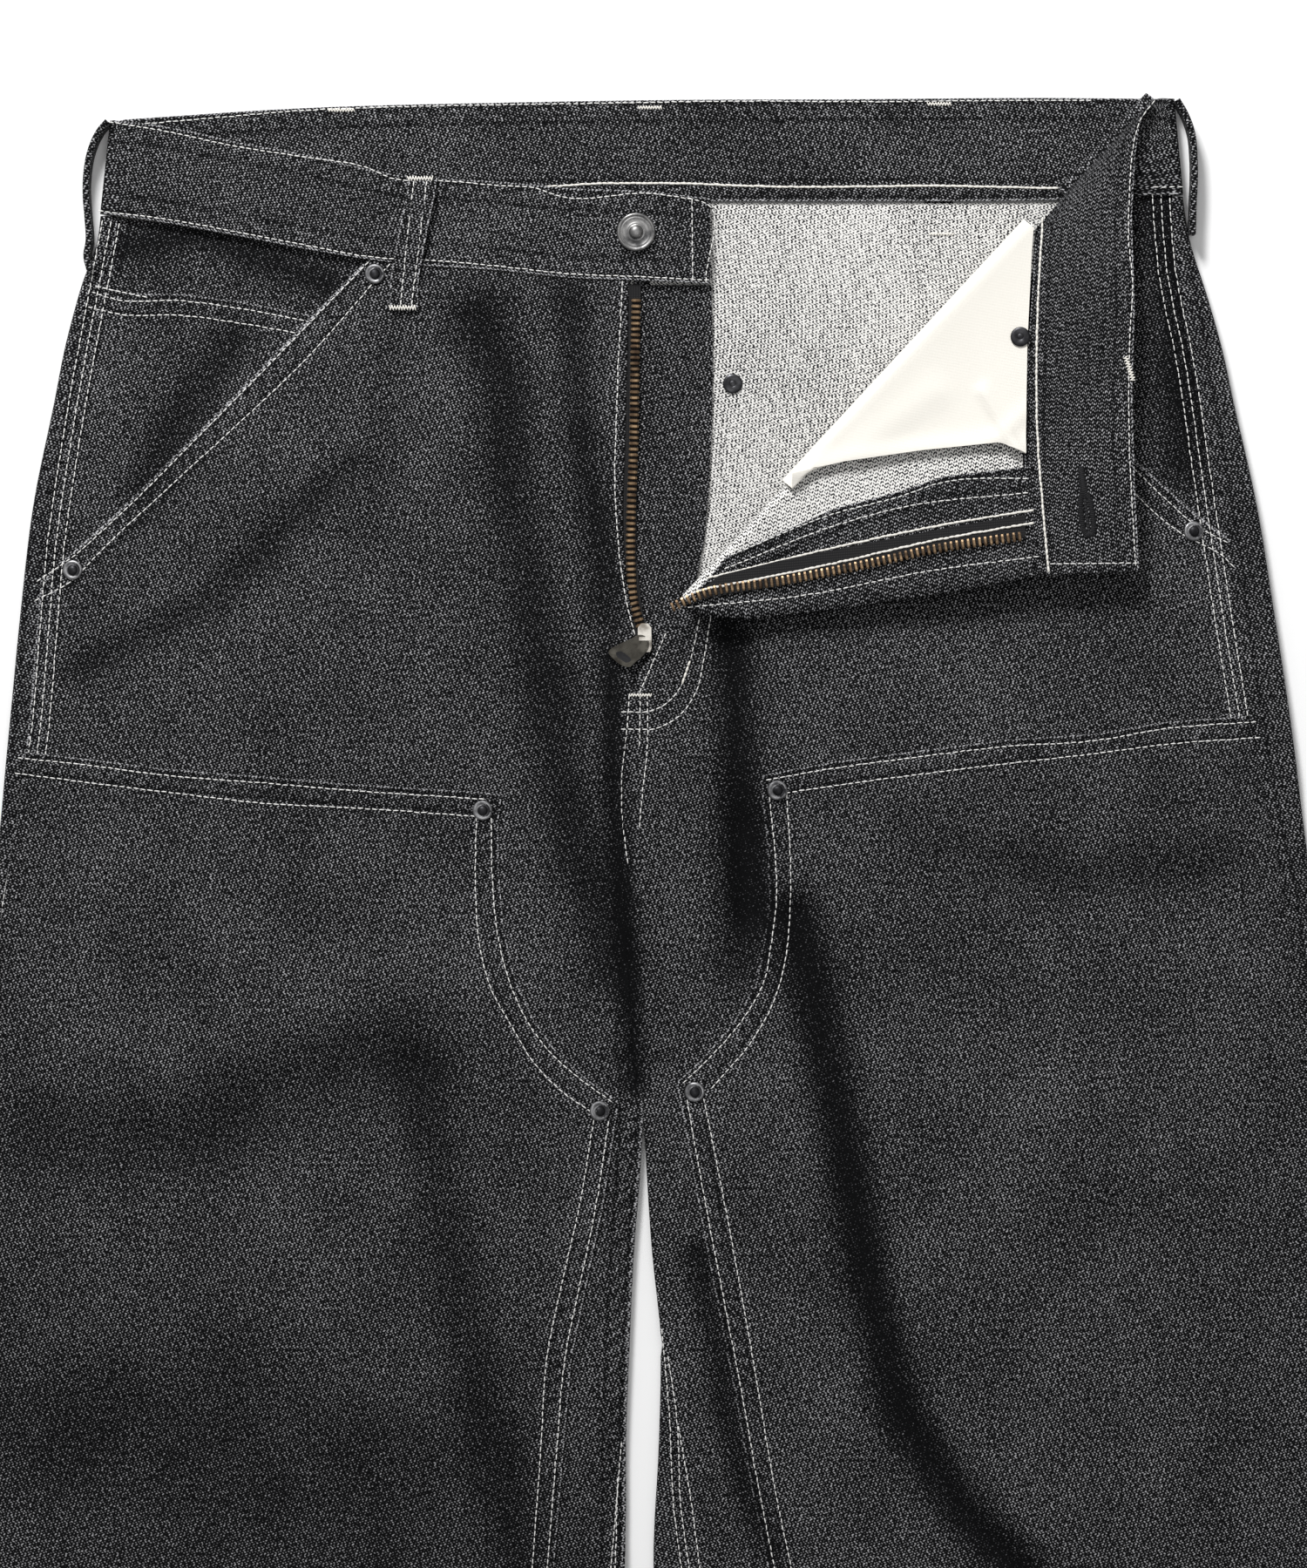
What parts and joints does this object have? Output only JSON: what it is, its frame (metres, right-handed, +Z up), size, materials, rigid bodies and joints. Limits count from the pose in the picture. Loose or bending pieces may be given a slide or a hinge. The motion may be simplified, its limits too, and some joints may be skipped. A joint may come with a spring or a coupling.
{
  "type": "carpenter pants",
  "caption": "Black denim carpenter pants with double knees, lying flat and unzipped, the left front turned out at the fly.",
  "frame": {"origin": "on the table, at the middle of the garment's bounding box, so z = 0 is the face that it lies on", "axes": "+Z up from the table, +Y along the legs towards the waist, +X to the viewer's right, which is the wearer's left"},
  "size_m": [0.6443, 1.05, 0.0241],
  "materials": {
    "denim": "rigid black twill, grey inside",
    "pocketing": "plain off-white cotton",
    "zip_tape": "black woven tape",
    "button_metal": "antique grey, worn bright on the raised ring",
    "rivet_metal": "dark gunmetal",
    "slider_metal": "plain nickel",
    "pull_metal": "dark bronze"
  },
  "bodies": {
    "pants": {"back_leg_left": "denim", "back_leg_right": "denim", "front_leg_left": "denim", "front_leg_right": "denim", "waistband": "denim", "knee_patch_left": "denim", "knee_patch_right": "denim", "pocket_facing_left": "denim", "pocket_facing_right": "denim", "coin_pocket": "denim", "pocket_bag_left": "pocketing", "back_pocket_left": "denim", "back_pocket_right": "denim", "fly_facing": "denim", "fly_shield": "denim", "zip_tape_left": "zip_tape", "zip_tape_right": "zip_tape", "belt_loop_back": "denim", "belt_loop_back_left": "denim", "belt_loop_back_right": "denim", "belt_loop_front_left": "denim", "belt_loop_front_right": "denim", "belt_loop_side_left": "denim", "belt_loop_side_right": "denim", "waist_button": "button_metal", "rivet_pocket_right_top": "rivet_metal", "rivet_pocket_right_low": "rivet_metal", "rivet_pocket_left_low": "rivet_metal", "rivet_patch_right_top": "rivet_metal", "rivet_patch_right_low": "rivet_metal", "rivet_patch_left_top": "rivet_metal", "rivet_patch_left_low": "rivet_metal", "rivet_back_pocket_bag": "rivet_metal", "rivet_back_seat_left": "rivet_metal", "rivet_back_seat_right": "rivet_metal", "zip_slider": "slider_metal"},
    "pull_tab": {"zip_pull": "pull_metal"}
  },
  "joints": [
    {"name": "pull_tab_swing", "type": "hinge", "parent": "pants", "child": "pull_tab", "pos_m": [0.0012, 0.2844, 0.0099], "axis": [0, 1, 0], "range_deg": [0, 115]}
  ]
}
